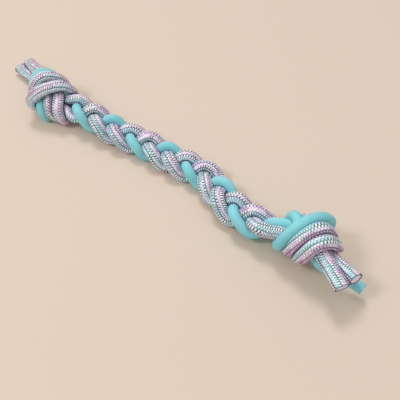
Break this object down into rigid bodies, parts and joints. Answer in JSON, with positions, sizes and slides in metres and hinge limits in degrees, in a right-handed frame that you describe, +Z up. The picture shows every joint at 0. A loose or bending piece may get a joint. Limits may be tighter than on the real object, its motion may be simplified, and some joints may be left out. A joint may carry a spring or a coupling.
{
  "type": "rope dog toy",
  "caption": "Plaited rope dog toy: patterned braided cords and a turquoise rubber cord in a flat plait, with an overhand knot and short cut tails at each end. It bends along its length.",
  "frame": {"origin": "middle of the toy's outline seen from above, on the floor it lies on", "axes": "+X along the plait from the left knot to the right knot, +Y across it away from the viewer, +Z up from the floor"},
  "size_m": [0.4684, 0.0894, 0.0508],
  "materials": {
    "sheath": "braided sheath patterned in white, mauve and mint stitches",
    "core": "pale cut yarn",
    "rubber": "smooth matte turquoise"
  },
  "bodies": {
    "left_knot": {"left_knot_first_sheath": "sheath", "left_knot_first_core": "core", "left_knot_second_sheath": "sheath", "left_knot_second_core": "core", "left_knot_rubber": "rubber"},
    "plait_left": {"plait_left_first_sheath": "sheath", "plait_left_first_core": "core", "plait_left_second_sheath": "sheath", "plait_left_second_core": "core", "plait_left_rubber": "rubber"},
    "plait_middle": {"plait_middle_first_sheath": "sheath", "plait_middle_first_core": "core", "plait_middle_second_sheath": "sheath", "plait_middle_second_core": "core", "plait_middle_rubber": "rubber"},
    "plait_right": {"plait_right_first_sheath": "sheath", "plait_right_first_core": "core", "plait_right_second_sheath": "sheath", "plait_right_second_core": "core", "plait_right_rubber": "rubber"},
    "right_knot": {"right_knot_first_sheath": "sheath", "right_knot_first_core": "core", "right_knot_second_sheath": "sheath", "right_knot_second_core": "core", "right_knot_rubber": "rubber"}
  },
  "joints": [
    {"name": "plait_left_bend", "type": "hinge", "parent": "plait_middle", "child": "plait_left", "pos_m": [-0.02593, 0.00971, 0.012], "axis": [0, 0, 1], "range_deg": [-15, 15]},
    {"name": "left_neck_bend", "type": "hinge", "parent": "plait_left", "child": "left_knot", "pos_m": [-0.10877, 0.00465, 0.012], "axis": [0, 0, 1], "range_deg": [-15, 15]},
    {"name": "plait_right_bend", "type": "hinge", "parent": "plait_middle", "child": "plait_right", "pos_m": [0.0569, 0.00758, 0.012], "axis": [0, 0, 1], "range_deg": [-15, 15]},
    {"name": "right_neck_bend", "type": "hinge", "parent": "plait_right", "child": "right_knot", "pos_m": [0.1279, -0.01682, 0.012], "axis": [0, 0, 1], "range_deg": [-15, 15]}
  ]
}
